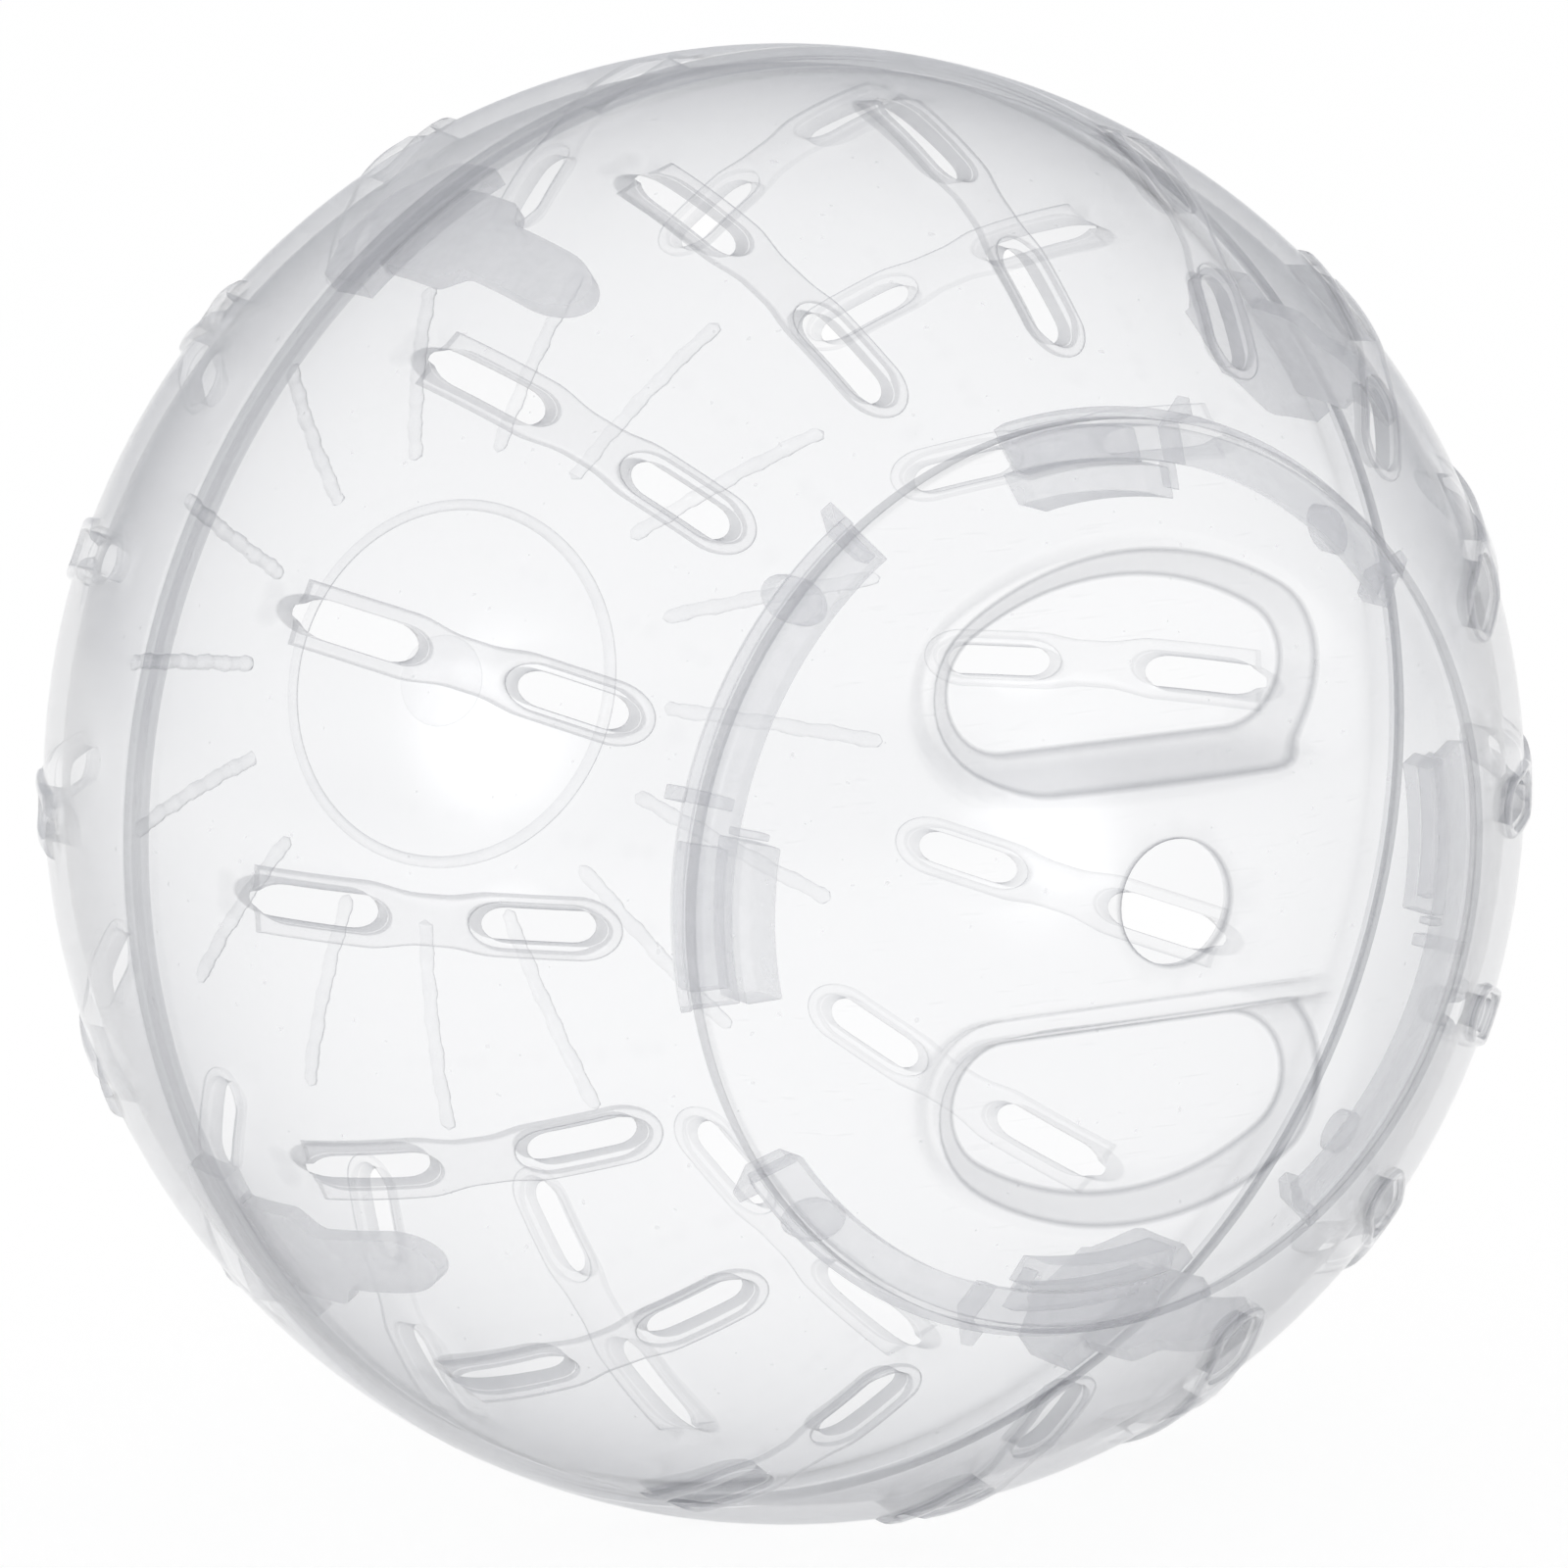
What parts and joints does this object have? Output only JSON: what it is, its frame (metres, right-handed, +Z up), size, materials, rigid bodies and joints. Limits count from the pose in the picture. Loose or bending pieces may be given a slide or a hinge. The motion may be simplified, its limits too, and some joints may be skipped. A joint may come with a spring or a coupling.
{
  "type": "hamster ball",
  "caption": "Clear vented exercise ball for a small pet: half shells that part at the seam, and a round bayonet door that turns open by its finger recesses.",
  "frame": {"origin": "centre of the ball, which is where the door's axis crosses the plane of the seam", "axes": "-Y along the door's axis out of the door, +Z up through a vent, +X to the right as seen by someone who faces the door"},
  "size_m": [0.12, 0.1195, 0.12],
  "materials": {
    "shell_plastic": "clear, polished, frosted on the ledges and tongues",
    "door_plastic": "clear, polished, frosted in the finger recesses and on the tabs"
  },
  "bodies": {
    "front_half": {"front_half": "shell_plastic"},
    "rear_half": {"rear_half": "shell_plastic"},
    "door": {"door": "door_plastic"}
  },
  "joints": [
    {"name": "door_turn", "type": "hinge", "parent": "front_half", "child": "door", "pos_m": [0, 0, 0], "axis": [0, -1, 0], "range_deg": [0, 24.8]},
    {"name": "halves_apart", "type": "slide", "parent": "front_half", "child": "rear_half", "axis": [0, 1, 0], "range_m": [0, 0.07]}
  ]
}
